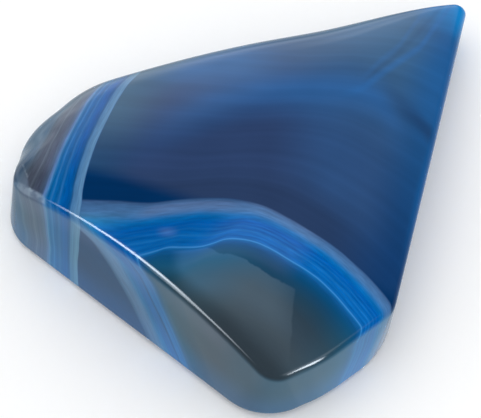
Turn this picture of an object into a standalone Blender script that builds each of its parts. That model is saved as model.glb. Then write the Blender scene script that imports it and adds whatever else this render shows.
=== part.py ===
"""Flame carving ground from one piece of banded agate, dyed blue and polished.

The flame lies on its flat back, as it does when it isn't stood up on its cut base:
+Y runs from the cut base to the tip, +X along the cut, and +Z up through the stone.
The origin is on the bench, under the middle of the flame's bounding box.

Seen from above the stone is an outline of eight corners, each ground to a radius. Every
point of that outline climbs a wall, which may lean, and rolls over a rounded edge into
the domed front face. Heights and places are in millimetres until the mesh is made.
"""

from collections import namedtuple
from math import atan2, ceil, cos, hypot, pi, radians, sin, tan

import bmesh
import bpy
import numpy as np

MILLIMETRE = 0.001

# Heights of the domed front face
CROWN_HEIGHT = 30.5        # thickest place, on the axis of the flame
CROWN_X = -2.5             # where that place is, in the frame of the outline's corners
CROWN_Y = -15.0
ACROSS_RADIUS = 106.0      # the face's curve from flank to flank
ALONG_RADIUS = 294.0       # its flatter curve from base to tip
AXIS_SLANT = 0.06          # X that the axis gains for each Y, towards the tip
FACE_MIDDLE = (-2.5, 3.0)  # place that the rings of the face shrink to

# The cut base and the leans of the ground walls. A wall that leans back has its foot
# further out than its top; a negative lean overhangs.
BASE_LINE = -38.0          # Y of the cut base where it meets the bench
BASE_LEAN = 8.0
SIDE_LEAN = 1.5
BOW_LEAN = 3.0
EDGE_LEAN = -4.0
HEEL_LEAN = 7.0

# A corner of the outline: its place, its radius in plan at the foot and at the top of
# the wall, the rounding of the wall's foot and of its top edge, and the lean of the wall
# that runs on from it. A negative radius is a hollow in the outline.
Corner = namedtuple("Corner", "x y foot_radius top_radius foot_round edge_round lean")

OUTLINE = (
    Corner(-46.3, BASE_LINE, 12.4, 9.5, 2.3, 1.8, BASE_LEAN),      # heel end of the cut
    Corner(38.5, BASE_LINE, 15.6, 7.0, 3.2, 1.6, SIDE_LEAN),       # toe end of the cut
    Corner(45.8, -18.8, 50.0, 50.0, 2.5, 1.6, BOW_LEAN),           # bow of the short side
    Corner(48.5, -2.8, 23.8, 8.0, 2.0, 1.6, EDGE_LEAN),            # foot of the long edge
    Corner(3.6, 88.4, 4.8, 2.8, 3.4, 2.4, 0.0),                    # tip
    Corner(-23.7, 48.5, -200.0, -200.0, 5.0, 10.0, 0.0),           # hollow of the flank
    Corner(-57.5, 3.9, 26.0, 24.0, 3.5, 11.0, 0.0),                # shoulder
    Corner(-58.1, -19.7, 18.0, 16.0, 3.5, 10.0, HEEL_LEAN),        # heel
)

# How finely the surface is divided
STEPS_PER_QUARTER_TURN = 12
FEWEST_CORNER_STEPS = 4
WALL_STEP = 9.0            # spacing of the points along a straight wall
FOOT_RINGS = 4
EDGE_RINGS = 6
FACE_RINGS = 9
HEIGHT_PASSES = 6          # each pass brings a leaning point closer to its own height
SMOOTH_ANGLE = 40.0

AGATE_BLUE = (0.012, 0.045, 0.165, 1.0)
AGATE_ROUGHNESS = 0.08


def face_height(x, y):
    """Height of the domed front face over a place on the bench."""
    axis_x = CROWN_X + AXIS_SLANT * (y - CROWN_Y)
    across = (x - axis_x) ** 2 / (2 * ACROSS_RADIUS)
    along = (y - CROWN_Y) ** 2 / (2 * ALONG_RADIUS)
    return CROWN_HEIGHT - across - along


class Wall:
    """The points round the outline, with what each needs to climb to the front face."""

    def __init__(self, outline):
        self.corners = outline
        self.places = np.array([(corner.x, corner.y) for corner in outline])
        runs = np.roll(self.places, -1, axis=0) - self.places
        runs /= np.hypot(runs[:, 0], runs[:, 1])[:, None]
        self.normals = np.column_stack((runs[:, 1], -runs[:, 0]))
        self.headings = [atan2(normal[1], normal[0]) for normal in self.normals]
        self.turns = [(self.headings[i] - self.headings[i - 1] + pi) % (2 * pi) - pi
                      for i in range(len(outline))]
        self.slides = [self.corner_slide(i) for i in range(len(outline))]
        rows = []
        for i in range(len(outline)):
            rows += self.corner_rows(i)
            rows += self.straight_rows(i)
        columns = [np.array(column) for column in zip(*rows)]
        self.foot, self.top, self.outward, self.slide, self.foot_round, self.edge_round = columns

    def corner_slide(self, i):
        """Move of corner i for each millimetre of height, so that both its walls lean."""
        leans = [tan(radians(self.corners[i - 1].lean)), tan(radians(self.corners[i].lean))]
        both = np.array((self.normals[i - 1], self.normals[i]))
        return np.linalg.solve(both, -np.array(leans))

    def corner_point(self, i, part, radius):
        """Place and outward direction at a part, 0 to 1, of the arc that rounds corner i."""
        half_turn = self.turns[i] / 2
        inward = -(self.normals[i - 1] + self.normals[i])
        inward /= hypot(*inward)
        centre = self.places[i] + inward * radius / cos(half_turn)
        angle = self.headings[i - 1] + self.turns[i] * part
        outward = np.array((cos(angle), sin(angle)))
        return centre + outward * radius, outward

    def corner_rows(self, i):
        corner = self.corners[i]
        quarter_turns = abs(self.turns[i]) / (pi / 2)
        steps = max(FEWEST_CORNER_STEPS, ceil(quarter_turns * STEPS_PER_QUARTER_TURN))
        rows = []
        for step in range(steps + 1):
            foot, outward = self.corner_point(i, step / steps, corner.foot_radius)
            top, _ = self.corner_point(i, step / steps, corner.top_radius)
            rows.append((foot, top, outward, self.slides[i], corner.foot_round, corner.edge_round))
        return rows

    def straight_rows(self, i):
        here, there = self.corners[i], self.corners[(i + 1) % len(self.corners)]
        end = (i + 1) % len(self.corners)
        foot_a, _ = self.corner_point(i, 1, here.foot_radius)
        foot_b, _ = self.corner_point(end, 0, there.foot_radius)
        top_a, _ = self.corner_point(i, 1, here.top_radius)
        top_b, _ = self.corner_point(end, 0, there.top_radius)
        steps = max(2, ceil(hypot(*(foot_b - foot_a)) / WALL_STEP))
        rows = []
        for step in range(1, steps):
            part = step / steps
            blend = part * part * (3 - 2 * part)
            rows.append((
                foot_a + (foot_b - foot_a) * part,
                top_a + (top_b - top_a) * part,
                self.normals[i],
                self.slides[i] + (self.slides[end] - self.slides[i]) * blend,
                here.foot_round + (there.foot_round - here.foot_round) * blend,
                here.edge_round + (there.edge_round - here.edge_round) * blend))
        return rows

    def ring(self, climb, inset, height):
        """Points of one ring: climb is 0 at the wall's foot and 1 at its top."""
        place = self.foot + (self.top - self.foot) * climb
        return place - self.outward * inset[:, None] + self.slide * height[:, None]

    def raised_ring(self, climb, inset, height_at):
        """A ring whose height depends on where its points are, found in a few passes."""
        height = np.full(len(self.foot), CROWN_HEIGHT / 2)
        for _ in range(HEIGHT_PASSES):
            place = self.ring(climb, inset, height)
            height = height_at(place)
        return np.column_stack((self.ring(climb, inset, height), height))


def foot_rings(wall):
    """Rings that round the foot of the wall, from the flat back outwards."""
    rings = []
    for step in range(FOOT_RINGS + 1):
        angle = pi / 2 * step / FOOT_RINGS
        height = wall.foot_round * (1 - cos(angle))
        inset = wall.foot_round * (1 - sin(angle))
        rings.append(np.column_stack((wall.ring(0, inset, height), height)))
    return rings


def edge_rings(wall):
    """Rings from the top of the wall, over the rounded edge, to the front face."""
    rings = []
    for step in range(EDGE_RINGS + 1):
        angle = pi / 2 * step / EDGE_RINGS
        drop = wall.edge_round * (1 - sin(angle))
        inset = wall.edge_round * (1 - cos(angle))
        rings.append(wall.raised_ring(
            1, inset, lambda place: face_height(place[:, 0], place[:, 1]) - drop))
    return rings


def face_rings(border):
    """Rings on the front face, shrinking from its border to the last point, its middle."""
    middle = np.array(FACE_MIDDLE)
    rings = []
    for step in range(1, FACE_RINGS):
        part = step / FACE_RINGS
        place = border[:, :2] * (1 - part) + middle * part
        rings.append(np.column_stack((place, face_height(place[:, 0], place[:, 1]))))
    return rings, np.array((*middle, face_height(*middle)))


def flame_surface():
    """All rings from the back up, and the point they close on, centred over the origin."""
    wall = Wall(OUTLINE)
    rings = foot_rings(wall) + edge_rings(wall)
    inner, last_point = face_rings(rings[-1])
    rings += inner
    points = np.vstack(rings)
    centre = (points.min(axis=0) + points.max(axis=0)) / 2
    centre[2] = 0.0
    return [ring - centre for ring in rings], last_point - centre


def agate_material():
    material = bpy.data.materials.new("polished blue agate")
    material.use_nodes = True
    shader = material.node_tree.nodes["Principled BSDF"]
    shader.inputs["Base Color"].default_value = AGATE_BLUE
    shader.inputs["Roughness"].default_value = AGATE_ROUGHNESS
    shader.inputs["Metallic"].default_value = 0.0
    material.diffuse_color = AGATE_BLUE
    return material


def agate_flame():
    """The stone: its rings joined by strips, closed by the flat back and a fan on the face."""
    rings, last_point = flame_surface()
    shape = bmesh.new()
    loops = [[shape.verts.new(point * MILLIMETRE) for point in ring] for ring in rings]
    top = shape.verts.new(last_point * MILLIMETRE)
    count = len(loops[0])
    for lower, upper in zip(loops, loops[1:]):
        for i in range(count):
            j = (i + 1) % count
            shape.faces.new((lower[i], lower[j], upper[j], upper[i]))
    for i in range(count):
        shape.faces.new((loops[-1][i], loops[-1][(i + 1) % count], top))
    shape.faces.new(reversed(loops[0]))
    mesh = bpy.data.meshes.new("agate_flame")
    shape.to_mesh(mesh)
    shape.free()
    mesh.shade_smooth()
    mesh.set_sharp_from_angle(angle=radians(SMOOTH_ANGLE))
    mesh.materials.append(agate_material())
    flame = bpy.data.objects.new("agate_flame", mesh)
    bpy.context.scene.collection.objects.link(flame)
    return flame


def main():
    for old in list(bpy.data.objects):
        bpy.data.objects.remove(old)
    agate_flame()


main()
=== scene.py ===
"""Looks of a flame carving ground from dyed blue agate, built as an add-on and run as a script.

The stone is lofted again at a fine step from the outline that its solid has, and gets its
bands from layers that run through it in three dimensions, so that a band crosses from the
domed front over the edge to the walls and the back. Lengths are in millimetres until a mesh
or the scene takes them.
"""

from collections import namedtuple
from math import atan2, ceil, cos, hypot, pi, radians, sin, tan

import bmesh
import bpy
import numpy as np
from bpy.props import FloatProperty, FloatVectorProperty, IntProperty, PointerProperty
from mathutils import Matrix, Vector


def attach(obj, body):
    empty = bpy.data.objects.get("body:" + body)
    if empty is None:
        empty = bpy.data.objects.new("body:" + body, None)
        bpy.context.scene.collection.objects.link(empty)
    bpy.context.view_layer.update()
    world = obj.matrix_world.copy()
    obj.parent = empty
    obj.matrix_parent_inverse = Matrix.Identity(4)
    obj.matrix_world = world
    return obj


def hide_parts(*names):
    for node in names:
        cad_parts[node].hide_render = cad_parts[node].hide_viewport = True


bl_info = {
    "name": "Agate flame carving",
    "version": (1, 0, 0),
    "blender": (4, 5, 0),
    "location": "3D View > Sidebar > Agate flame",
    "description": "Builds a polished blue agate flame and the studio round it",
    "category": "Add Mesh",
}

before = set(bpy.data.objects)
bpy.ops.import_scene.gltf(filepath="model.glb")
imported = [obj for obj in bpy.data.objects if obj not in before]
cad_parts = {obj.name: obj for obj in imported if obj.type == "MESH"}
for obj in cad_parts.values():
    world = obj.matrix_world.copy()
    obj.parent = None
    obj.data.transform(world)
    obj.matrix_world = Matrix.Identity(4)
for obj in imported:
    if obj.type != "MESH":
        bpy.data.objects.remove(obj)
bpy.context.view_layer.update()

MILLIMETRE = 0.001
METRE = 1000.0

# The domed front face and the leans of the walls, as the solid has them
CROWN_HEIGHT = 30.5
CROWN_X = -2.5
CROWN_Y = -15.0
ACROSS_RADIUS = 106.0
ALONG_RADIUS = 294.0
AXIS_SLANT = 0.06
FACE_MIDDLE = (-2.5, 3.0)
BASE_LINE = -38.0
BASE_LEAN = 8.0
SIDE_LEAN = 1.5
BOW_LEAN = 3.0
EDGE_LEAN = -4.0
HEEL_LEAN = 7.0

Corner = namedtuple("Corner", "x y foot_radius top_radius foot_round edge_round lean")

OUTLINE = (
    Corner(-46.3, BASE_LINE, 12.4, 9.5, 2.3, 1.8, BASE_LEAN),      # heel end of the cut
    Corner(38.5, BASE_LINE, 15.6, 7.0, 3.2, 1.6, SIDE_LEAN),       # toe end of the cut
    Corner(45.8, -18.8, 50.0, 50.0, 2.5, 1.6, BOW_LEAN),           # bow of the short side
    Corner(48.5, -2.8, 23.8, 8.0, 2.0, 1.6, EDGE_LEAN),            # foot of the long edge
    Corner(3.6, 88.4, 4.8, 2.8, 3.4, 2.4, 0.0),                    # tip
    Corner(-23.7, 48.5, -200.0, -200.0, 5.0, 10.0, 0.0),           # hollow of the flank
    Corner(-57.5, 3.9, 26.0, 24.0, 3.5, 11.0, 0.0),                # shoulder
    Corner(-58.1, -19.7, 18.0, 16.0, 3.5, 10.0, HEEL_LEAN),        # heel
)

FEWEST_CORNER_STEPS = 4
FEWEST_WALL_STEPS = 2
HEIGHT_PASSES = 6          # each pass brings a leaning point closer to its own height
SMOOTH_ANGLE = 40.0

# Layers of the stone. The rind's two lines give X by Y and the arc's two lines Y by X, as
# they show on the front face. A slide gives how far its line has moved by a depth below the
# face, and the toe's slide how far the whole arc has.
PALE_LINE = (
    (-62.0, -17.3), (-57.0, -20.5), (-54.0, -22.4), (-50.0, -25.3), (-46.0, -27.6), (-42.0, -29.6),
    (-34.0, -33.35), (-26.0, -36.6), (-18.0, -39.3), (-8.0, -42.0), (62.0, -52.0))
BLUE_EDGE = (
    (-62.0, -28.4), (-57.0, -30.7), (-50.0, -33.95), (-42.0, -37.6), (-34.0, -40.9), (-26.0, -44.0),
    (-18.0, -46.7), (62.0, -62.0))
PALE_SLIDE = (
    (0.0, 0.0), (1.0, 0.6), (2.2, 0.5), (7.5, 0.0), (12.0, -0.15), (17.0, -0.6), (31.0, -0.9))
BLUE_SLIDE = (
    (0.0, 0.0), (1.0, 0.6), (5.0, 1.2), (11.0, 1.45), (17.0, 1.9), (22.0, 1.6), (31.0, 1.5))

ARC_OUTER = (
    (-62.0, -66.0), (-35.0, -59.0), (-20.0, -51.7), (-14.0, -48.1), (-8.0, -44.2), (-2.0, -38.5),
    (1.0, -35.5), (4.0, -33.0), (7.0, -30.7), (10.0, -28.8), (13.0, -27.2), (16.0, -26.0),
    (22.0, -24.4), (28.0, -23.1), (34.0, -22.2), (40.0, -22.1), (46.0, -22.4), (53.0, -23.2))
ARC_INNER = (
    (-62.0, -88.0), (-12.0, -69.0), (-2.0, -59.6), (1.0, -55.8), (3.0, -52.8), (4.3, -50.6),
    (7.0, -48.2), (10.0, -45.2), (11.7, -42.6), (13.2, -39.9), (16.0, -37.3), (19.0, -35.5),
    (22.0, -34.4), (28.0, -33.0), (34.0, -31.9), (40.0, -31.7), (46.0, -32.4), (53.0, -33.2))
OUTER_SLIDE = (
    (0.0, 0.0), (1.0, 6.0), (3.0, 11.8), (5.0, 15.8), (9.0, 19.2), (15.0, 21.8), (21.0, 24.5),
    (31.0, 28.5))
INNER_SLIDE = (
    (0.0, 0.0), (1.5, 2.3), (4.0, 5.8), (10.0, 9.7), (15.5, 12.8), (21.5, 15.9), (31.0, 20.0))
TOE_SLIDE = ((0.0, 0.0), (2.0, 2.4), (7.0, 3.5), (12.0, 5.1), (15.0, 6.3), (31.0, 11.0))
THINNEST_ARC = 2.0         # between its two lines, where they run together


def rgb(code):
    """Linear colour of an sRGB hex code."""
    parts = [int(code[i:i + 2], 16) / 255 for i in (1, 3, 5)]
    return tuple(p / 12.92 if p <= 0.04045 else ((p + 0.055) / 1.055) ** 2.4 for p in parts)


class StoneSizes(bpy.types.PropertyGroup):
    corner_steps: IntProperty(
        name="Corner steps", description="Steps in a quarter turn of the outline",
        default=34, min=4)
    wall_step: FloatProperty(
        name="Wall step", description="Spacing of the points along a straight wall, in millimetres",
        default=1.6, min=0.3)
    foot_rings: IntProperty(
        name="Foot rings", description="Rings that round the edge of the back", default=9, min=2)
    edge_rings: IntProperty(
        name="Edge rings", description="Rings that round the edge of the front", default=16, min=3)
    face_rings: IntProperty(
        name="Face rings", description="Rings on the domed front face", default=44, min=3)


class StoneLook(bpy.types.PropertyGroup):
    body: FloatVectorProperty(
        name="Body", description="Clear inner chalcedony, dyed navy", subtype="COLOR", size=3,
        default=rgb("#2c4067"))
    # Painted dark reflection: the darker part of the front face between the rind and the arc
    deep: FloatVectorProperty(
        name="Deep blue", description="Clearest and darkest part of the body", subtype="COLOR",
        size=3, default=rgb("#022c58"))
    low_body: FloatVectorProperty(
        name="Low body", description="Clearer and darker body just above the arc",
        subtype="COLOR", size=3, default=rgb("#263859"))
    right: FloatVectorProperty(
        name="Right of body", description="Body beyond the middle, a little bluer",
        subtype="COLOR", size=3, default=rgb("#2b4a76"))
    tip: FloatVectorProperty(
        name="Tip", description="Thin end, where light comes through", subtype="COLOR", size=3,
        default=rgb("#375c80"))
    edge: FloatVectorProperty(
        name="Long edge", description="Clear blue along the long edge and by the arc",
        subtype="COLOR", size=3, default=rgb("#123765"))
    edge_tip: FloatVectorProperty(
        name="Edge at the tip", description="Blue of the long edge near the tip",
        subtype="COLOR", size=3, default=rgb("#21558b"))
    azure: FloatVectorProperty(
        name="Azure", description="The very tip, lit through", subtype="COLOR", size=3,
        default=rgb("#1480c6"))
    rim: FloatVectorProperty(
        name="Rim", description="Rounding and wall of the long edge", subtype="COLOR", size=3,
        default=rgb("#165590"))
    flank: FloatVectorProperty(
        name="Flank", description="Where the rounded flank lets light through",
        subtype="COLOR", size=3, default=rgb("#30639a"))
    streak: FloatVectorProperty(
        name="Streak", description="Light blue streaks that slant through the body",
        subtype="COLOR", size=3, default=rgb("#2c5e98"))
    fork: FloatVectorProperty(
        name="Fork", description="Fine lines that the streak forks into near the tip",
        subtype="COLOR", size=3, default=rgb("#2b66a6"))
    smudge: FloatVectorProperty(
        name="Smudge", description="Dark cloud beside the streaks", subtype="COLOR", size=3,
        default=rgb("#213f68"))
    teal: FloatVectorProperty(
        name="Teal", description="Teal-grey part of the body beside the rind",
        subtype="COLOR", size=3, default=rgb("#305573"))
    low_teal: FloatVectorProperty(
        name="Low teal", description="The same lower down, clearer", subtype="COLOR", size=3,
        default=rgb("#204266"))
    inner_line: FloatVectorProperty(
        name="Inner line", description="Fine pale line that the arc ends in, round the pocket",
        subtype="COLOR", size=3, default=rgb("#3583c8"))
    core: FloatVectorProperty(
        name="Core", description="What the pocket's milky core adds to its colour", size=3,
        default=(0.036, 0.048, 0.058))
    core_left: FloatVectorProperty(
        name="Core to the left", description="The same at its bluer left end", size=3,
        default=(0.016, 0.036, 0.064))
    # Bruised stone of the chips at the heel, also used for a painted highlight along its front edge
    chip: FloatVectorProperty(
        name="Chip", description="Bruised stone along the chipped edge at the heel",
        subtype="COLOR", size=3, default=rgb("#b4c6d6"))
    roughness: FloatProperty(
        name="Roughness", description="Of the polished surface", default=0.06, min=0.0, max=1.0)
    gloss: FloatProperty(
        name="Gloss", description="Specular level of the polish", default=0.26, min=0.0, max=1.0)
    ior: FloatProperty(
        name="IOR", description="Of chalcedony", default=1.54, min=1.0, max=3.0)


class StudioSettings(bpy.types.PropertyGroup):
    fill: FloatProperty(
        name="Fill", description="Strength of the even light", default=0.96, min=0.0)
    floor_size: FloatProperty(
        name="Floor", description="Side of the square floor", default=8.0, min=0.5, unit="LENGTH")
    distance: FloatProperty(
        name="Camera distance", description="From the middle of the view", default=0.6, min=0.1,
        unit="LENGTH")
    azimuth: FloatProperty(
        name="Camera azimuth", description="From the front, towards the toe", default=radians(40.1),
        subtype="ANGLE", unit="ROTATION")
    elevation: FloatProperty(
        name="Camera elevation", description="Above the floor", default=radians(60.0),
        subtype="ANGLE", unit="ROTATION")


def face_height(x, y):
    """Height of the domed front face over a place on the bench, in the outline's frame."""
    axis_x = CROWN_X + AXIS_SLANT * (y - CROWN_Y)
    across = (x - axis_x) ** 2 / (2 * ACROSS_RADIUS)
    along = (y - CROWN_Y) ** 2 / (2 * ALONG_RADIUS)
    return CROWN_HEIGHT - across - along


class Wall:
    """The points round the outline, with what each needs to climb to the front face."""

    def __init__(self, outline, corner_steps, wall_step):
        self.corners = outline
        self.corner_steps = corner_steps
        self.wall_step = wall_step
        self.places = np.array([(corner.x, corner.y) for corner in outline])
        runs = np.roll(self.places, -1, axis=0) - self.places
        runs /= np.hypot(runs[:, 0], runs[:, 1])[:, None]
        self.normals = np.column_stack((runs[:, 1], -runs[:, 0]))
        self.headings = [atan2(normal[1], normal[0]) for normal in self.normals]
        self.turns = [(self.headings[i] - self.headings[i - 1] + pi) % (2 * pi) - pi
                      for i in range(len(outline))]
        self.slides = [self.corner_slide(i) for i in range(len(outline))]
        rows = []
        for i in range(len(outline)):
            rows += self.corner_rows(i)
            rows += self.straight_rows(i)
        columns = [np.array(column) for column in zip(*rows)]
        self.foot, self.top, self.outward, self.slide, self.foot_round, self.edge_round = columns

    def corner_slide(self, i):
        """Move of corner i for each millimetre of height, so that both its walls lean."""
        leans = [tan(radians(self.corners[i - 1].lean)), tan(radians(self.corners[i].lean))]
        both = np.array((self.normals[i - 1], self.normals[i]))
        return np.linalg.solve(both, -np.array(leans))

    def corner_point(self, i, part, radius):
        """Place and outward direction at a part, 0 to 1, of the arc that rounds corner i."""
        half_turn = self.turns[i] / 2
        inward = -(self.normals[i - 1] + self.normals[i])
        inward /= hypot(*inward)
        centre = self.places[i] + inward * radius / cos(half_turn)
        angle = self.headings[i - 1] + self.turns[i] * part
        outward = np.array((cos(angle), sin(angle)))
        return centre + outward * radius, outward

    def corner_rows(self, i):
        corner = self.corners[i]
        quarter_turns = abs(self.turns[i]) / (pi / 2)
        steps = max(FEWEST_CORNER_STEPS, ceil(quarter_turns * self.corner_steps))
        rows = []
        for step in range(steps + 1):
            foot, outward = self.corner_point(i, step / steps, corner.foot_radius)
            top, _ = self.corner_point(i, step / steps, corner.top_radius)
            rows.append((foot, top, outward, self.slides[i], corner.foot_round, corner.edge_round))
        return rows

    def straight_rows(self, i):
        end = (i + 1) % len(self.corners)
        here, there = self.corners[i], self.corners[end]
        foot_a, _ = self.corner_point(i, 1, here.foot_radius)
        foot_b, _ = self.corner_point(end, 0, there.foot_radius)
        top_a, _ = self.corner_point(i, 1, here.top_radius)
        top_b, _ = self.corner_point(end, 0, there.top_radius)
        steps = max(FEWEST_WALL_STEPS, ceil(hypot(*(foot_b - foot_a)) / self.wall_step))
        rows = []
        for step in range(1, steps):
            part = step / steps
            blend = part * part * (3 - 2 * part)
            rows.append((
                foot_a + (foot_b - foot_a) * part,
                top_a + (top_b - top_a) * part,
                self.normals[i],
                self.slides[i] + (self.slides[end] - self.slides[i]) * blend,
                here.foot_round + (there.foot_round - here.foot_round) * blend,
                here.edge_round + (there.edge_round - here.edge_round) * blend))
        return rows

    def ring(self, climb, inset, height):
        """Points of one ring: climb is 0 at the wall's foot and 1 at its top."""
        place = self.foot + (self.top - self.foot) * climb
        return place - self.outward * inset[:, None] + self.slide * height[:, None]

    def raised_ring(self, climb, inset, height_at):
        """A ring whose height depends on where its points are, found in a few passes."""
        height = np.full(len(self.foot), CROWN_HEIGHT / 2)
        for _ in range(HEIGHT_PASSES):
            place = self.ring(climb, inset, height)
            height = height_at(place)
        return np.column_stack((self.ring(climb, inset, height), height))


def foot_rings(wall, count):
    """Rings that round the foot of the wall, from the flat back outwards."""
    rings = []
    for step in range(count + 1):
        angle = pi / 2 * step / count
        height = wall.foot_round * (1 - cos(angle))
        inset = wall.foot_round * (1 - sin(angle))
        rings.append(np.column_stack((wall.ring(0, inset, height), height)))
    return rings


def edge_rings(wall, count):
    """Rings from the top of the wall, over the rounded edge, to the front face."""
    rings = []
    for step in range(count + 1):
        angle = pi / 2 * step / count
        drop = wall.edge_round * (1 - sin(angle))
        inset = wall.edge_round * (1 - cos(angle))
        rings.append(wall.raised_ring(
            1, inset, lambda place: face_height(place[:, 0], place[:, 1]) - drop))
    return rings


def face_rings(border, count):
    """Rings on the front face, shrinking from its border to the last point, its middle."""
    middle = np.array(FACE_MIDDLE)
    rings = []
    for step in range(1, count):
        part = step / count
        place = border[:, :2] * (1 - part) + middle * part
        rings.append(np.column_stack((place, face_height(place[:, 0], place[:, 1]))))
    return rings, np.array((*middle, face_height(*middle)))


def flame_surface(sizes):
    """All rings from the back up, the point they close on, and the outline's centre."""
    wall = Wall(OUTLINE, sizes.corner_steps, sizes.wall_step)
    rings = foot_rings(wall, sizes.foot_rings) + edge_rings(wall, sizes.edge_rings)
    inner, last_point = face_rings(rings[-1], sizes.face_rings)
    rings += inner
    points = np.vstack(rings)
    centre = (points.min(axis=0) + points.max(axis=0)) / 2
    centre[2] = 0.0
    return [ring - centre for ring in rings], last_point - centre, centre


def put(tree, kind, inputs=None, points=None, stops=None, out=0, **settings):
    """Adds one shader node, with its settings, its curve points or ramp stops, and its inputs."""
    made = tree.nodes.new("ShaderNode" + kind)
    for name, value in settings.items():
        setattr(made, name, value)
    if points:
        made.mapping.use_clip = False
        curve = made.mapping.curves[0]
        for _ in range(len(points) - 2):
            curve.points.new(0.0, 0.0)
        for point, place in zip(curve.points, points):
            point.location = place
        made.mapping.update()
    if stops:
        ramp = made.color_ramp
        low, high = stops[0][0], stops[-1][0]
        while len(ramp.elements) < len(stops):
            ramp.elements.new(1.0)
        for element, (place, code) in zip(ramp.elements, stops):
            element.position = (place - low) / (high - low)
            element.color = (*rgb(code), 1.0)
    for key, value in (inputs or {}).items():
        if isinstance(value, bpy.types.NodeSocket):
            tree.links.new(value, made.inputs[key])
        else:
            made.inputs[key].default_value = value
    return None if out is None else made.outputs[out]


# Colours of the rind's layers, by part of the way from the pale line, 0, that parts the rind
# from the body, to the outer edge of the blue strip, -1, and on through the brown-grey layer
# to the weathered skin
RIND_LAYERS = (
    (-2.70, "#3c5670"), (-2.00, "#36526e"), (-1.88, "#4b6076"), (-1.79, "#485668"),
    (-1.60, "#4c5466"), (-1.52, "#4b5466"), (-1.47, "#5a6577"), (-1.42, "#4b5567"),
    (-1.24, "#4a536a"), (-1.13, "#4a5b75"), (-1.06, "#4a6082"), (-1.01, "#5270a0"),
    (-0.95, "#4a79ac"), (-0.91, "#23699f"), (-0.85, "#03548e"), (-0.80, "#0c5e9c"),
    (-0.76, "#2a6dab"), (-0.71, "#075a9b"), (-0.60, "#06538f"), (-0.53, "#22629f"),
    (-0.47, "#035699"), (-0.34, "#00519a"), (-0.21, "#044c8a"), (-0.16, "#164f82"),
    (-0.11, "#42709e"), (0.00, "#4b769f"), (0.10, "#5681a8"), (0.155, "#547fa9"),
    (0.20, "#174674"))

# Colours of the arc's layers, by part of the way from its outer to its inner line: milky
# skin, clear cobalt, finely lined blue, the pale inner line, and the dark rim of the pocket
ARC_LAYERS = (
    (-0.08, "#123560"), (-0.02, "#193c66"), (0.03, "#3c5d8a"), (0.08, "#426a9a"), (0.18, "#4773a5"),
    (0.25, "#3f74ac"), (0.31, "#226dae"), (0.37, "#0867ae"), (0.45, "#035fac"), (0.50, "#0059aa"),
    (0.54, "#0d60ae"), (0.58, "#0058a6"), (0.63, "#1065b0"), (0.67, "#0159a6"), (0.72, "#0861ac"),
    (0.76, "#156cb6"), (0.80, "#0560ae"), (0.86, "#0d67b2"), (0.90, "#045ba6"), (0.96, "#0e66b0"),
    (1.03, "#1163a2"), (1.08, "#115692"), (1.16, "#0b4c7e"), (1.30, "#0c466e"),
    (1.46, "#164262"), (1.70, "#204056"), (2.10, "#2d3f4d"), (2.50, "#344451"), (2.90, "#3a4751"))

# Fine lines in both: about how many there are from 0 to 1 of the way, what part of the way a
# millimetre along them counts as, and how much of the colour they take or add. The real ones
# are about 0.1 mm apart, too fine to show, so these are several times as coarse.
RIND_LINES = 20.0
ARC_LINES = 18.0
LINE_STRETCH = 0.012
LINE_SHARE = 0.16

# Directions on the stone that its markings are placed by: along is to the right in the photo
# and up is up in it, and the third points in from the long edge, which stands EDGE_DISTANCE
# from the middle
ALONG = (0.765, 0.644, 0.0)
UP = (-0.644, 0.765, 0.0)
FROM_EDGE = (-0.897, -0.442, 0.0)
EDGE_DISTANCE = 36.1

# Sizes of the wandering of the layers, of the body's clouds, of the ghosts of bands in it and
# of the rags along the core and the chips, how far the layers wander from one side to the
# other, and how much of the colour the clouds and ghosts take or add
WANDER_SIZE = 22.0
CLOUD_SIZE = 26.0
GHOST_SPACING = 3.5
RAG_SIZE = 3.0
WANDER_REACH = 1.4
CLOUD_SHARE = 0.13

# Middles of markings in the body, as the distance up at distances along
STREAK = (
    (-60.0, -22.0), (-40.0, -9.0), (-32.0, -4.6), (-22.0, 0.5), (-12.0, 4.6), (4.0, 6.3),
    (19.0, 6.6), (25.0, 2.5), (30.0, -5.0), (34.0, -15.0), (60.0, -70.0))
FORK = (
    (-60.0, -10.0), (0.0, 3.0), (14.0, 5.5), (18.8, 7.9), (23.6, 12.4), (28.4, 17.2),
    (31.8, 20.6), (34.6, 23.8), (37.5, 29.3), (60.0, 72.0))
HIGH_FORK = (
    (-60.0, -10.0), (14.0, 7.0), (20.0, 12.2), (24.0, 17.3), (28.5, 22.5), (32.3, 29.6),
    (60.0, 80.0))
GAP = (
    (-60.0, -10.0), (14.0, 6.0), (21.0, 11.3), (23.4, 14.6), (28.0, 19.8), (31.8, 25.0),
    (60.0, 76.0))
SMUDGE = (
    (-60.0, 70.0), (22.0, 11.5), (26.6, 6.2), (29.8, 2.3), (33.0, -0.8), (35.9, -4.2),
    (60.0, -32.0))
STREAK_FADE = 8.0          # length that a streak fades out over at its end

# Chipped end of the front face at the heel, as the distance along at distances up
HEEL_EDGE = (
    (-60.0, -40.0), (-26.0, -59.0), (-24.6, -60.5), (-22.6, -63.1), (-16.9, -64.7),
    (-14.0, -65.7), (60.0, -90.0))

# Upper border of the pocket's milky core, as the distance up at distances along
CORE_TOP = (
    (-60.0, -41.5), (-28.0, -41.0), (-20.0, -41.2), (-16.0, -42.5), (-12.0, -43.3), (-9.0, -45.0),
    (-6.5, -46.3), (-2.5, -48.6), (1.4, -50.0), (60.0, -70.0))

# How far the rags move the core's upper and right borders, and the slant of the right one
CORE_TOP_RAGS = 1.8
CORE_SIDE_RAGS = 1.2
CORE_SIDE_SLANT = 0.08

# Middles of the other markings: the pale inner line and the dark line by part of the way
# through the arc, the pocket by X, and the lilac cloud by its distances along and up
INNER_LINE = 1.0
DARK_LINE = 0.66
POCKET_X = 34.0
LILAC_ALONG = -29.4
LILAC_UP = -37.3
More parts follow.
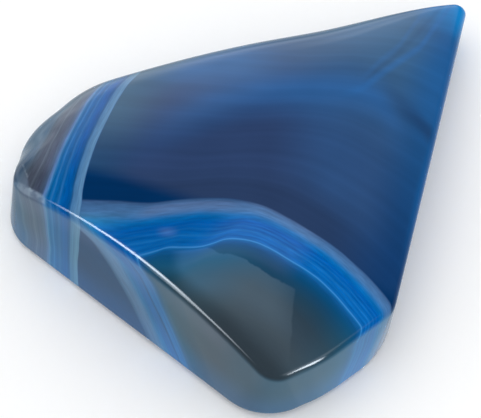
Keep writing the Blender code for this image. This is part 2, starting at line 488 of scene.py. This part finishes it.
# Slope of the border of the painted dark reflection on the front face
WEDGE_SLOPE = 0.30         # of the border that the dark wedge has with the body
TOE_STARTS = 37.0          # X that the side at the toe begins at, and is whole from
TOE_IS_WHOLE = 44.0

# What thin stone, sawing and grinding leave of a colour, and the haze that they add to it
NO_HAZE = (0.0, 0.0, 0.0)
THIN_POCKET = (0.004, 0.028, 0.042)
SAWN_KEEPS = (0.80, 0.83, 0.66)
SAWN_HAZE = (0.0, 0.024, 0.058, 1.0)
SAWN_HAZE_AT_TOE = (0.016, 0.058, 0.110, 1.0)
GROUND_HAZE = (0.034, 0.036, 0.044)


def lay(tree, at, under, over, fades, strength=1.0):
    """Lays a colour over another, by how far named values have gone from starts to ends."""
    share = strength
    for name, start, end in fades:
        step = put(tree, "MapRange", {"Value": at[name], "From Min": start, "From Max": end},
                   interpolation_type="SMOOTHSTEP")
        share = put(tree, "Math", {0: share, 1: step}, operation="MULTIPLY")
    under, over = (colour if isinstance(colour, bpy.types.NodeSocket) else (*colour, 1.0)
                   for colour in (under, over))
    return put(tree, "Mix", {0: share, 6: under, 7: over}, data_type="RGBA", out=2)


def veil(tree, at, colour, keep, haze, fades):
    """Lays a colour over itself, with part of it kept and a haze added."""
    veiled = put(tree, "VectorMath", {0: colour, 1: (keep,) * 3, 2: haze}, operation="MULTIPLY_ADD")
    return lay(tree, at, colour, veiled, fades)


def layers(tree, stops, through, length, lines, share=1.0):
    """Colours of a set of layers, with fine lines that come and go along them."""
    place = put(tree, "MapRange", {
        "Value": through, "From Min": stops[0][0], "From Max": stops[-1][0]})
    colour = put(tree, "ValToRGB", {0: place}, stops=stops)
    length = put(tree, "Math", {0: length, 1: LINE_STRETCH}, operation="MULTIPLY")
    fine = put(tree, "CombineXYZ", {0: through, 1: length})
    fine = put(tree, "TexNoise", {"Vector": fine, "Scale": lines, "Detail": 2.0, "Roughness": 0.6})
    fine = put(tree, "MapRange", {"Value": fine, "From Min": 0.3, "From Max": 0.7,
                                  "To Min": -LINE_SHARE, "To Max": LINE_SHARE})
    fine = put(tree, "Math", {0: fine, 1: share, 2: 1.0}, operation="MULTIPLY_ADD")
    return put(tree, "VectorMath", {0: colour, "Scale": fine}, operation="SCALE")


def places_in_stone(tree, centre):
    """The values that layers and markings are placed by, each an output under its name."""
    here = put(tree, "TexCoord", out=3)
    spot = put(tree, "VectorMath", {0: here, "Scale": METRE}, operation="SCALE")
    true_x, true_y, true_z = put(tree, "SeparateXYZ", {0: spot}).node.outputs
    wander = put(tree, "TexNoise", {
        "Vector": here, "Scale": METRE / WANDER_SIZE, "Detail": 1.5}, out=1)
    wander = put(tree, "VectorMath", {0: wander, 1: (0.5, 0.5, 0.5)}, operation="SUBTRACT")
    wander = put(tree, "VectorMath", {0: wander, "Scale": WANDER_REACH}, operation="SCALE")
    spot = put(tree, "VectorMath", {0: spot, 1: wander}, operation="ADD")
    x, y, _ = put(tree, "SeparateXYZ", {0: spot}).node.outputs
    at = {"here": here, "x": x, "y": y, "z": true_z}

    # Depth below the domed front face, carried on past its border
    across = put(tree, "Math", {0: true_x, 1: CROWN_X - centre[0]}, operation="SUBTRACT")
    forward = put(tree, "Math", {0: true_y, 1: CROWN_Y - centre[1]}, operation="SUBTRACT")
    across = put(tree, "Math", {0: forward, 1: -AXIS_SLANT, 2: across}, operation="MULTIPLY_ADD")
    depth = CROWN_HEIGHT
    for part, radius in ((across, ACROSS_RADIUS), (forward, ALONG_RADIUS)):
        square = put(tree, "Math", {0: part, 1: part}, operation="MULTIPLY")
        depth = put(tree, "Math", {0: square, 1: -0.5 / radius, 2: depth}, operation="MULTIPLY_ADD")
    depth = put(tree, "Math", {0: depth, 1: true_z}, operation="SUBTRACT")
    depth = put(tree, "Math", {0: depth, 1: 0.0}, operation="MAXIMUM")
    at["depth"] = depth

    # How far beyond the rind's pale line, and the part of the way through its layers
    rind_lines = []
    for line, slide in ((PALE_LINE, PALE_SLIDE), (BLUE_EDGE, BLUE_SLIDE)):
        line = put(tree, "FloatCurve", {"Value": y}, points=line)
        slide = put(tree, "FloatCurve", {"Value": depth}, points=slide)
        rind_lines.append(put(tree, "Math", {0: line, 1: slide}, operation="ADD"))
    pale, blue = rind_lines
    at["beyond"] = put(tree, "Math", {0: x, 1: pale}, operation="SUBTRACT")
    width = put(tree, "Math", {0: pale, 1: blue}, operation="SUBTRACT")
    at["rind"] = put(tree, "Math", {0: at["beyond"], 1: width}, operation="DIVIDE")

    # How far inward of the arc's outer line, and the part of the way through its layers,
    # which draw together below the edge of the face and spread down the wall at the toe
    arc_lines = []
    for line, slide in ((ARC_OUTER, OUTER_SLIDE), (ARC_INNER, INNER_SLIDE)):
        slide = put(tree, "FloatCurve", {"Value": depth}, points=slide)
        slide = put(tree, "Math", {0: x, 1: slide}, operation="SUBTRACT")
        arc_lines.append(put(tree, "FloatCurve", {"Value": slide}, points=line))
    outer, inner = arc_lines
    toe = put(tree, "FloatCurve", {"Value": depth}, points=TOE_SLIDE)
    level = put(tree, "Math", {0: y, 1: toe}, operation="ADD")
    at["inward"] = put(tree, "Math", {0: outer, 1: level}, operation="SUBTRACT")
    thickness = put(tree, "Math", {0: outer, 1: inner}, operation="SUBTRACT")
    thickness = put(tree, "Math", {0: thickness, 1: THINNEST_ARC}, operation="MAXIMUM")
    arc = put(tree, "Math", {0: at["inward"], 1: thickness}, operation="DIVIDE")
    narrow = put(tree, "MapRange", {
        "Value": depth, "From Min": 0.8, "From Max": 3.0, "To Min": 1.0, "To Max": 1.18})
    wide = put(tree, "MapRange", {
        "Value": depth, "From Min": 0.0, "From Max": 15.0, "To Min": 1.0, "To Max": 0.8})
    at["toe_end"] = put(
        tree, "MapRange", {"Value": x, "From Min": TOE_STARTS, "From Max": TOE_IS_WHOLE},
        interpolation_type="SMOOTHSTEP")
    narrow = put(tree, "Mix", {0: at["toe_end"], 2: narrow, 3: wide})
    at["arc"] = put(tree, "Math", {0: arc, 1: narrow}, operation="MULTIPLY")

    # Distances in the directions of the markings, and past the line of the dark wedge
    for name, way in (("along", ALONG), ("up", UP), ("from_edge", FROM_EDGE)):
        at[name] = put(tree, "VectorMath", {0: spot, 1: way}, operation="DOT_PRODUCT", out=1)
    at["from_edge"] = put(tree, "Math", {0: at["from_edge"], 1: EDGE_DISTANCE}, operation="ADD")
    at["wedge"] = put(tree, "Math", {0: x, 1: -WEDGE_SLOPE, 2: y}, operation="MULTIPLY_ADD")
    heel = put(tree, "FloatCurve", {"Value": at["up"]}, points=HEEL_EDGE)
    at["heel"] = put(tree, "Math", {0: at["along"], 1: heel}, operation="SUBTRACT")

    # Rags, and the pocket's core, whose borders they tear
    rags = put(tree, "TexNoise", {"Vector": here, "Scale": METRE / RAG_SIZE, "Detail": 3.0})
    rags = put(tree, "Math", {0: rags, 1: 0.5}, operation="SUBTRACT")
    at["rags"] = rags
    top = put(tree, "FloatCurve", {"Value": at["along"]}, points=CORE_TOP)
    top = put(tree, "Math", {0: top, 1: at["up"]}, operation="SUBTRACT")
    at["core_top"] = put(tree, "Math", {
        0: rags, 1: CORE_TOP_RAGS, 2: top}, operation="MULTIPLY_ADD")
    right = put(tree, "Math", {
        0: rags, 1: CORE_SIDE_RAGS, 2: at["along"]}, operation="MULTIPLY_ADD")
    at["core_right"] = put(tree, "Math", {
        0: at["up"], 1: -CORE_SIDE_SLANT, 2: right}, operation="MULTIPLY_ADD")

    # Distances to either side of a line or a middle
    for name, value, middle in (
            ("off_inner_line", "arc", INNER_LINE), ("off_dark_line", "arc", DARK_LINE),
            ("off_pocket", "x", POCKET_X), ("off_lilac_along", "along", LILAC_ALONG),
            ("off_lilac_up", "up", LILAC_UP), ("off_heel", "heel", 0.0)):
        off = put(tree, "Math", {0: at[value], 1: middle}, operation="SUBTRACT")
        at[name] = put(tree, "Math", {0: off}, operation="ABSOLUTE")
    return at


def body_colour(tree, at, look):
    """Navy, bluer to the right, greyer to the tip, with streaks, clouds and ghosts of bands."""
    edge = lay(tree, at, look.edge, look.edge_tip, (("y", -20.0, 30.0),))
    body = look.body
    for tint, strength, fades in (
            (look.right, 1.0, (("along", -6.0, 12.0),)),
            (look.tip, 1.0, (("y", -4.0, 44.0),)),
            (edge, 1.0, (("from_edge", 13.0, 1.0),)),
            (look.edge, 0.85, (("inward", -14.0, 0.0), ("x", 20.0, 40.0))),
            (look.flank, 0.8, (("up", 3.0, 16.0), ("along", 6.0, -14.0))),
            (look.low_body, 0.8, (("inward", -15.0, -4.0), ("along", 24.0, 8.0))),
            (look.azure, 1.0, (("y", 46.0, 64.0),))):
        body = lay(tree, at, body, tint, fades, strength)

    # Each streak with its half width, its strength, its tint, where along it fades in, and
    # where it ends
    for path, half, strength, tint, start, full, stop in (
            (STREAK, 12.5, 0.52, look.streak, -46.0, -14.0, 32.0),
            (STREAK, 5.5, 0.5, look.streak, -34.0, -4.0, 30.0),
            (GAP, 2.4, 0.22, look.smudge, 18.0, 24.0, 60.0),
            (SMUDGE, 5.4, 0.68, look.smudge, 22.0, 35.0, 60.0),
            (HIGH_FORK, 2.2, 0.22, look.fork, 16.0, 24.0, 60.0),
            (FORK, 2.4, 0.42, look.fork, 10.0, 22.0, 60.0)):
        middle = put(tree, "FloatCurve", {"Value": at["along"]}, points=path)
        off = put(tree, "Math", {0: at["up"], 1: middle}, operation="SUBTRACT")
        off = put(tree, "Math", {0: off}, operation="ABSOLUTE")
        fades = (("off", half, 0.0), ("along", start, full), ("along", stop, stop - STREAK_FADE))
        body = lay(tree, {**at, "off": off}, body, tint, fades, strength)

    # Teal-grey beside the rind, and between the rind and the arc a painted dark reflection, where
    # the front face mirrors no softbox
    teal = lay(tree, at, look.low_teal, look.teal, (("y", -40.0, -24.0),))
    body = lay(tree, at, body, teal, (("beyond", 17.0, 1.0),))
    body = lay(tree, at, body, look.deep, (("wedge", -33.9, -39.4),))

    cloud = put(tree, "TexNoise", {
        "Vector": at["here"], "Scale": METRE / CLOUD_SIZE, "Detail": 2.0})
    ghost = put(tree, "CombineXYZ", {0: at["inward"], 1: 0.0})
    ghost = put(tree, "TexNoise", {"Vector": ghost, "Scale": 1 / GHOST_SPACING, "Detail": 2.0})
    cloud = put(tree, "Math", {0: cloud, 1: ghost}, operation="ADD")
    cloud = put(tree, "MapRange", {
        "Value": cloud, "From Min": 0.7, "From Max": 1.3,
        "To Min": 1 - CLOUD_SHARE, "To Max": 1 + CLOUD_SHARE})
    return put(tree, "VectorMath", {0: body, "Scale": cloud}, operation="SCALE")


def with_arc(tree, at, look, body):
    """The body with the arc's layers over it."""
    clear = put(tree, "MapRange", {
        "Value": at["arc"], "From Min": 1.25, "From Max": 1.0, "To Min": 0.12})
    arc = layers(tree, ARC_LAYERS, at["arc"], at["x"], ARC_LINES, clear)
    arc = lay(tree, at, arc, look.inner_line, (("off_inner_line", 0.035, 0.0), ("depth", 3.0, 0.5)))
    for keep, haze, fades in (
            # paler across its bend: a painted reflection
            (1.0, (0.017, 0.010, 0.004), (("x", 7.0, 14.0), ("x", 33.0, 26.0), ("arc", 1.6, 1.3))),
            # clearer left of the bend, and bluer at the left end, where a reflection is painted
            (0.8, NO_HAZE, (("x", -15.0, -6.0), ("x", 14.0, 6.0))),
            (1.0, (0.020, 0.060, 0.020), (
                ("x", -6.0, -18.0), ("arc", 0.15, 0.35), ("arc", 0.8, 0.45))),
            (0.8, NO_HAZE, (("x", -7.0, -12.0), ("arc", 0.40, 0.25))),
            # the milky skin where the arc rises
            (1.0, (0.024, 0.014, 0.016), (
                ("x", -9.0, -5.0), ("x", 12.0, 7.0), ("arc", 0.03, 0.1), ("arc", 0.35, 0.2))),
            # a dark line down the cut base
            (0.6, NO_HAZE, (("off_dark_line", 0.07, 0.0), ("depth", 1.0, 4.0), ("x", 34.0, 24.0))),
            # a small lilac cloud on the face
            (1.0, (0.034, 0.036, 0.052), (
                ("off_lilac_along", 3.4, 0.0), ("off_lilac_up", 1.9, 0.0), ("depth", 1.5, 0.5)))):
        arc = veil(tree, at, arc, keep, haze, fades)
    return lay(tree, at, body, arc, (("arc", -0.02, 0.03),))


def with_pocket(tree, at, look, colour):
    """The colour with the pocket's milky core, and a painted dark reflection in the band between it
    and the edge.
    """
    # The pocket is paler where it thins out at the arc's two ends
    thin = put(tree, "MapRange", {"Value": at["off_pocket"], "From Min": 6.0, "From Max": 22.0},
               interpolation_type="SMOOTHSTEP")
    in_pocket = put(tree, "MapRange", {"Value": at["arc"], "From Min": 1.02, "From Max": 1.4})
    thin = put(tree, "Math", {0: thin, 1: in_pocket}, operation="MULTIPLY")
    thin = put(tree, "VectorMath", {0: THIN_POCKET, "Scale": thin}, operation="SCALE")
    colour = put(tree, "VectorMath", {0: colour, 1: thin}, operation="ADD")

    right = put(tree, "MapRange", {"Value": at["x"], "From Min": 16.0, "From Max": 25.0})
    milk = put(tree, "Mix", {0: right, 6: (*look.core_left, 1.0), 7: (*look.core, 1.0)},
               data_type="RGBA", out=2)
    milk = put(tree, "VectorMath", {0: colour, 1: milk}, operation="ADD")
    colour = lay(tree, at, colour, milk, (
        ("core_top", -0.1, 0.5), ("core_right", 5.6, 4.9), ("along", 7.0, -6.0),
        ("along", -29.0, -25.0), ("y", -57.5, -51.5), ("arc", 1.02, 1.1), ("arc", 3.3, 2.2),
        ("depth", 1.0, 0.2)))
    # painted dark reflection: darker in a band along the front edge
    return veil(tree, at, colour, 0.66, NO_HAZE, (
        ("y", -52.0, -57.0), ("arc", 1.3, 1.7), ("depth", 1.2, 0.6)))


def with_rind(tree, at, colour):
    """The colour with the rind's layers over it, darker at the heel's chipped end."""
    rind = layers(tree, RIND_LAYERS, at["rind"], at["y"], RIND_LINES)
    colour = lay(tree, at, colour, rind, (("rind", 0.205, 0.165),))
    return veil(tree, at, colour, 0.66, NO_HAZE, (
        ("rind", -0.98, -1.12), ("y", -47.0, -53.0), ("y", -57.6, -56.8)))


def sawn_colour(tree, at, colour):
    """The colour as it looks milky where the layers are sawn across, most at the toe."""
    haze = put(tree, "Mix", {0: at["toe_end"], 6: SAWN_HAZE, 7: SAWN_HAZE_AT_TOE},
               data_type="RGBA", out=2)
    colour = put(tree, "VectorMath", {0: colour, 1: SAWN_KEEPS, 2: haze}, operation="MULTIPLY_ADD")
    for haze, fades in (
            # bluer towards the foot, a painted glow of the floor's light through the stone
            ((0.0, 0.022, 0.080), (("z", 15.0, 2.0),)),
            # paler along the top of the cut base, a painted reflection of the floor
            ((0.022, 0.020, 0.028), (("depth", 9.0, 2.5), ("x", 34.0, 24.0))),
            # hazier in the arc's layers, warmer in the pocket beyond them
            ((0.032, 0.044, 0.066), (
                ("depth", 14.0, 4.0), ("x", 14.0, 2.0), ("arc", 0.0, 0.08), ("arc", 1.3, 1.0))),
            ((0.010, -0.003, -0.014), (
                ("depth", 20.0, 12.0), ("x", 36.0, 26.0), ("arc", 1.1, 1.5)))):
        colour = veil(tree, at, colour, 1.0, haze, fades)
    return colour


def with_edges(tree, at, look, colour, sawn):
    """The colour with the ground and chipped edge at the heel and the lit long edge."""
    ground = put(tree, "VectorMath", {0: sawn, 1: GROUND_HAZE}, operation="ADD")
    for tint, strength, fades in (
            # the heel's end, and the strip along its edge with the cut base
            (ground, 1.0, (("heel", 0.3, -0.7), ("up", -13.0, -19.0), ("depth", 0.8, 0.2))),
            (ground, 1.0, (("y", -56.6, -57.6), ("depth", 1.2, 0.6), ("rind", -0.9, -1.02))),
            # chips along the two, and a painted highlight along the front edge at the heel
            (look.chip, 0.18, (
                ("off_heel", 0.5, 0.0), ("up", -11.0, -14.0), ("rags", -0.02, 0.1),
                ("depth", 0.6, 0.4))),
            # a painted highlight along the front edge at the heel, broken by chips
            (look.chip, 0.2, (
                ("y", -56.6, -57.6), ("depth", 1.0, 0.5), ("rind", -0.85, -1.0),
                ("rags", -0.15, 0.05))),
            # the long edge, and the tip where light comes through it
            (look.rim, 0.8, (("from_edge", 1.0, -1.0), ("y", -20.0, 5.0), ("y", 56.0, 46.0))),
            (look.azure, 0.9, (("from_edge", 3.0, 0.0), ("y", 48.0, 60.0)))):
        colour = lay(tree, at, colour, tint, fades, strength)
    return colour


def agate_material(look, centre):
    """Agate, sawn, ground and polished: glassy chalcedony in layers, dyed where it is porous.

    It gives the eye a hard wet gloss over colour that lies a little way inside.
    """
    material = bpy.data.materials.new("Agate, dyed blue, ground and polished")
    material.use_nodes = True
    tree = material.node_tree
    at = places_in_stone(tree, centre)
    colour = body_colour(tree, at, look)
    colour = with_arc(tree, at, look, colour)
    colour = with_pocket(tree, at, look, colour)
    colour = with_rind(tree, at, colour)
    sawn = sawn_colour(tree, at, colour)
    below = put(tree, "MapRange", {"Value": at["depth"], "From Min": 0.5, "From Max": 1.4})
    colour = put(tree, "Mix", {0: below, 6: colour, 7: sawn}, data_type="RGBA", out=2)
    colour = with_edges(tree, at, look, colour, sawn)

    shader = tree.nodes["Principled BSDF"]
    tree.links.new(colour, shader.inputs["Base Color"])
    shader.inputs["Roughness"].default_value = look.roughness
    shader.inputs["IOR"].default_value = look.ior
    shader.inputs["Specular IOR Level"].default_value = look.gloss
    return material


def add_to_scene(thing):
    bpy.context.scene.collection.objects.link(thing)
    return thing


class FLAME_OT_stone(bpy.types.Operator):
    """Lofts the flame at a fine step and gives it its agate"""
    bl_idname = "flame.stone"
    bl_label = "Polished flame"

    def execute(self, context):
        rings, last_point, centre = flame_surface(context.scene.flame_sizes)
        shape = bmesh.new()
        loops = [[shape.verts.new(point * MILLIMETRE) for point in ring] for ring in rings]
        top = shape.verts.new(last_point * MILLIMETRE)
        count = len(loops[0])
        for lower, upper in zip(loops, loops[1:]):
            for i in range(count):
                j = (i + 1) % count
                shape.faces.new((lower[i], lower[j], upper[j], upper[i]))
        for i in range(count):
            shape.faces.new((loops[-1][i], loops[-1][(i + 1) % count], top))
        shape.faces.new(reversed(loops[0]))
        mesh = bpy.data.meshes.new("polished_flame")
        shape.to_mesh(mesh)
        shape.free()
        mesh.shade_smooth()
        mesh.set_sharp_from_angle(angle=radians(SMOOTH_ANGLE))
        mesh.materials.append(agate_material(context.scene.flame_look, centre))
        stone = add_to_scene(bpy.data.objects.new("polished_flame", mesh))
        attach(stone, "root")
        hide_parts("agate_flame")
        return {"FINISHED"}


# The camera, fitted to the stone's outline in the photo, with the place that its view is
# centred on, and the lamp, in metres, that gives the matt colour its shading
VIEW_MIDDLE = (5.051, -24.343, 15.0)
FOCAL_PIXELS = 2400.0
PICTURE_WIDTH = 481.0
SENSOR_WIDTH = 36.0
LAMP_PLACE = (-0.2, 0.25, 1.2)
LAMP_SIDE = 1.2
LAMP_RADIANCE = 0.7

FILL_WHITE = (1.0, 1.0, 1.0, 1.0)
GLOSS_WHITE = (0.93, 1.02, 1.11, 1.0)   # the lamps' cooler white, as the polish shows it

# What the polish mirrors, each as a direction that the studio is brightest in, its radiance,
# the angles from there, in degrees, that it begins and ends to fade at, and how much taller
# than wide it is
MIRRORED = (
    ((-0.590, -0.215, 0.778), 22.0, 1.0, 19.0, 1.0),    # long softbox to the left, its far end
    ((-0.422, -0.029, 0.906), 6.0, 2.0, 16.0, 1.0),     # the glow beside it
    ((-0.345, -0.210, 0.915), 20.0, 3.0, 20.0, 1.0),    # its middle
    ((-0.219, -0.380, 0.899), 18.0, 3.0, 16.0, 1.0),
    ((-0.042, -0.600, 0.799), 15.0, 3.0, 18.5, 1.0),    # its near end
    ((-0.204, -0.761, 0.616), 5.0, 1.0, 12.0, 1.0),     # the glow under it
    ((0.960, 0.042, 0.276), 33.0, 1.5, 5.5, 3.1),       # upright strip lamp to the right
    ((0.861, 0.090, 0.500), 2.6, 2.0, 17.0, 1.0),       # its glow
    ((-0.705, 0.692, 0.154), 1.58, 16.0, 32.0, 1.0),    # white wall behind
    ((-0.430, 0.836, 0.340), 1.42, 0.0, 21.5, 1.0),     # the same wall by the tip
    ((-0.962, 0.245, -0.122), 0.90, 9.0, 21.0, 1.0),    # the same wall, further left
    ((-0.796, 0.499, -0.344), 0.73, 3.0, 13.0, 1.0),    # the floor in front of it
    ((0.0, 0.0, -1.0), 0.51, 60.0, 84.0, 1.0),          # the floor all round
    ((-0.358, -0.873, -0.331), 0.58, 12.0, 57.0, 1.0),  # the floor in front, under the softbox
    ((0.503, 0.700, -0.507), 0.30, 40.0, 46.0, 1.0))    # the floor under the strip lamp


def studio_light(tree, fill):
    """An even light for everything matt, and the lamps, wall and floor that the polish mirrors."""
    tree.nodes.clear()
    way = put(tree, "TexCoord", out=0)
    total = None
    for towards, radiance, inner, outer, tall in MIRRORED:
        middle = Vector(towards).normalized()
        off = put(tree, "VectorMath", {0: way, 1: middle}, operation="SUBTRACT")
        off = put(tree, "VectorMath", {0: off, 1: (1.0, 1.0, 1.0 / tall)}, operation="MULTIPLY")
        off = put(tree, "VectorMath", {0: off}, operation="LENGTH", out=1)
        glow = put(tree, "MapRange", {"Value": off, "From Min": 2 * sin(radians(outer) / 2),
                                      "From Max": 2 * sin(radians(inner) / 2), "To Max": radiance},
                   interpolation_type="SMOOTHSTEP")
        total = glow if total is None else put(tree, "Math", {0: total, 1: glow}, operation="ADD")
    glossy = put(tree, "LightPath", out="Is Glossy Ray")
    strength = put(tree, "Mix", {0: glossy, 2: fill, 3: total})
    white = put(tree, "Mix", {0: glossy, 6: FILL_WHITE, 7: GLOSS_WHITE}, data_type="RGBA", out=2)
    light = put(tree, "Background", {"Color": white, "Strength": strength})
    put(tree, "OutputWorld", {"Surface": light}, out=None)


def overhead_lamp():
    """A large soft lamp above the stone, which the polish and the camera don't see."""
    lamp = bpy.data.lights.new("overhead lamp", "AREA")
    lamp.size = LAMP_SIDE
    lamp.energy = LAMP_RADIANCE * pi * LAMP_SIDE ** 2
    holder = add_to_scene(bpy.data.objects.new("overhead lamp", lamp))
    holder.location = LAMP_PLACE
    holder.rotation_euler = (-Vector(LAMP_PLACE)).to_track_quat("-Z", "Y").to_euler()
    holder.visible_camera = False
    holder.visible_glossy = False


def paper_material():
    """White paper off a seamless roll, calendered matt: it gives the eye an even, plain floor."""
    paper = bpy.data.materials.new("Paper, matt white, seamless roll")
    paper.use_nodes = True
    shader = paper.node_tree.nodes["Principled BSDF"]
    shader.inputs["Base Color"].default_value = (*rgb("#fafafa"), 1.0)
    shader.inputs["Roughness"].default_value = 0.9
    shader.inputs["Specular IOR Level"].default_value = 0.1
    return paper


class FLAME_OT_stage(bpy.types.Operator):
    """Sets the pale floor, the studio lamps and the camera"""
    bl_idname = "flame.stage"
    bl_label = "Floor, lamps and camera"

    def execute(self, context):
        settings = context.scene.flame_studio
        half = settings.floor_size / 2
        mesh = bpy.data.meshes.new("floor")
        corners = [(-half, -half, 0), (half, -half, 0), (half, half, 0), (-half, half, 0)]
        mesh.from_pydata(corners, [], [(0, 1, 2, 3)])
        mesh.materials.append(paper_material())
        floor = add_to_scene(bpy.data.objects.new("floor", mesh))
        floor.visible_glossy = False    # the polish sees the floor that MIRRORED has

        overhead_lamp()
        world = bpy.data.worlds.new("studio")
        world.use_nodes = True
        studio_light(world.node_tree, settings.fill)
        context.scene.world = world
        context.scene.view_settings.view_transform = "Standard"

        camera = bpy.data.cameras.new("camera")
        camera.sensor_width = SENSOR_WIDTH
        camera.lens = SENSOR_WIDTH * FOCAL_PIXELS / PICTURE_WIDTH
        holder = add_to_scene(bpy.data.objects.new("camera", camera))
        middle = Vector(VIEW_MIDDLE) * MILLIMETRE
        back = Vector((sin(settings.azimuth) * cos(settings.elevation),
                       -cos(settings.azimuth) * cos(settings.elevation), sin(settings.elevation)))
        holder.location = middle + back * settings.distance
        holder.rotation_euler = (-back).to_track_quat("-Z", "Y").to_euler()
        context.scene.camera = holder
        return {"FINISHED"}


class FLAME_PT_panel(bpy.types.Panel):
    """Lists the settings and the steps that build the flame"""
    bl_idname = "FLAME_PT_panel"
    bl_label = "Agate flame"
    bl_space_type = "VIEW_3D"
    bl_region_type = "UI"
    bl_category = "Agate flame"

    def draw(self, context):
        for group in PROPERTY_GROUPS:
            settings = getattr(context.scene, group)
            for name in settings.bl_rna.properties.keys():
                if name not in ("rna_type", "name"):
                    self.layout.prop(settings, name)
        for step in OPERATORS:
            self.layout.operator(step.bl_idname)


PROPERTY_GROUPS = {
    "flame_sizes": StoneSizes, "flame_look": StoneLook, "flame_studio": StudioSettings}
OPERATORS = (FLAME_OT_stone, FLAME_OT_stage)
CLASSES = (*PROPERTY_GROUPS.values(), *OPERATORS, FLAME_PT_panel)


def register():
    for cls in CLASSES:
        bpy.utils.register_class(cls)
    for name, group in PROPERTY_GROUPS.items():
        setattr(bpy.types.Scene, name, PointerProperty(type=group))


def unregister():
    for name in PROPERTY_GROUPS:
        delattr(bpy.types.Scene, name)
    for cls in reversed(CLASSES):
        bpy.utils.unregister_class(cls)


def main():
    register()
    bpy.ops.flame.stone()
    bpy.ops.flame.stage()


if __name__ == "__main__":
    main()
